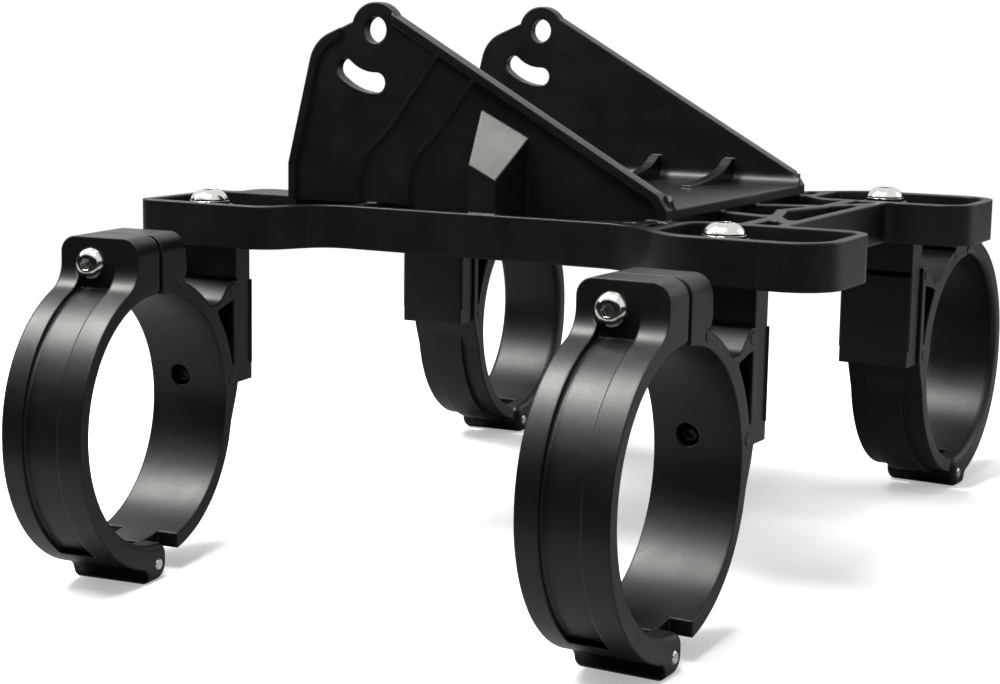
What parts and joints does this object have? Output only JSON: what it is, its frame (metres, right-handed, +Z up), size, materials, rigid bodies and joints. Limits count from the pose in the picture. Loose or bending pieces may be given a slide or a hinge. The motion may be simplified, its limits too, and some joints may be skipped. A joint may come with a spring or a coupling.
{
  "type": "headlight mounting bracket",
  "caption": "Black moulded headlight bracket with upright slotted fins on a ribbed frame, held to both fork tubes by hinged ring clamps.",
  "frame": {"origin": "centre of the box in plan, at the bottom of the hinge knuckles", "axes": "+X along the fork tubes towards the lower clamps, +Y across the forks towards the left tube, +Z up out of the frame"},
  "size_m": [0.183, 0.2702, 0.138],
  "materials": {
    "moulded_black": "satin, fine grain",
    "steel_fasteners": "bright",
    "blackened_bolts": "blackened, satin",
    "brass_inserts": "turned"
  },
  "bodies": {
    "bracket": {"frame": "moulded_black", "right_upper_leg": "moulded_black", "right_upper_clamp_base": "moulded_black", "right_upper_hinge_pin": "steel_fasteners", "right_upper_clamp_insert": "brass_inserts", "right_upper_leg_bolt": "blackened_bolts", "right_upper_leg_insert": "brass_inserts", "right_upper_pocket_screw": "steel_fasteners", "right_upper_pocket_washer": "steel_fasteners", "right_lower_leg": "moulded_black", "right_lower_clamp_base": "moulded_black", "right_lower_hinge_pin": "steel_fasteners", "right_lower_clamp_insert": "brass_inserts", "right_lower_leg_bolt": "blackened_bolts", "right_lower_leg_insert": "brass_inserts", "right_lower_pocket_screw": "steel_fasteners", "right_lower_pocket_washer": "steel_fasteners", "left_upper_leg": "moulded_black", "left_upper_clamp_base": "moulded_black", "left_upper_hinge_pin": "steel_fasteners", "left_upper_clamp_insert": "brass_inserts", "left_upper_leg_bolt": "blackened_bolts", "left_upper_leg_insert": "brass_inserts", "left_upper_pocket_screw": "steel_fasteners", "left_upper_pocket_washer": "steel_fasteners", "left_lower_leg": "moulded_black", "left_lower_clamp_base": "moulded_black", "left_lower_hinge_pin": "steel_fasteners", "left_lower_clamp_insert": "brass_inserts", "left_lower_leg_bolt": "blackened_bolts", "left_lower_leg_insert": "brass_inserts", "left_lower_pocket_screw": "steel_fasteners", "left_lower_pocket_washer": "steel_fasteners"},
    "right_upper_cap": {"right_upper_clamp_cap": "moulded_black", "right_upper_clamp_screw": "steel_fasteners"},
    "right_lower_cap": {"right_lower_clamp_cap": "moulded_black", "right_lower_clamp_screw": "steel_fasteners"},
    "left_upper_cap": {"left_upper_clamp_cap": "moulded_black", "left_upper_clamp_screw": "steel_fasteners"},
    "left_lower_cap": {"left_lower_clamp_cap": "moulded_black", "left_lower_clamp_screw": "steel_fasteners"}
  },
  "joints": [
    {"name": "right_upper_cap_hinge", "type": "hinge", "parent": "bracket", "child": "right_upper_cap", "pos_m": [-0.07326, -0.10196, 0.004], "axis": [0.9945, 0.1045, 0], "range_deg": [-1, 95]},
    {"name": "right_lower_cap_hinge", "type": "hinge", "parent": "bracket", "child": "right_lower_cap", "pos_m": [0.06112, -0.10219, 0.004], "axis": [0.9997, -0.0262, 0], "range_deg": [-1, 95]},
    {"name": "left_upper_cap_hinge", "type": "hinge", "parent": "bracket", "child": "left_upper_cap", "pos_m": [-0.08, 0.10214, 0.004], "axis": [-0.9986, -0.0523, 0], "range_deg": [-1, 95]},
    {"name": "left_lower_cap_hinge", "type": "hinge", "parent": "bracket", "child": "left_lower_cap", "pos_m": [0.06488, 0.10212, 0.004], "axis": [-0.9981, 0.061, 0], "range_deg": [-1, 95]}
  ]
}
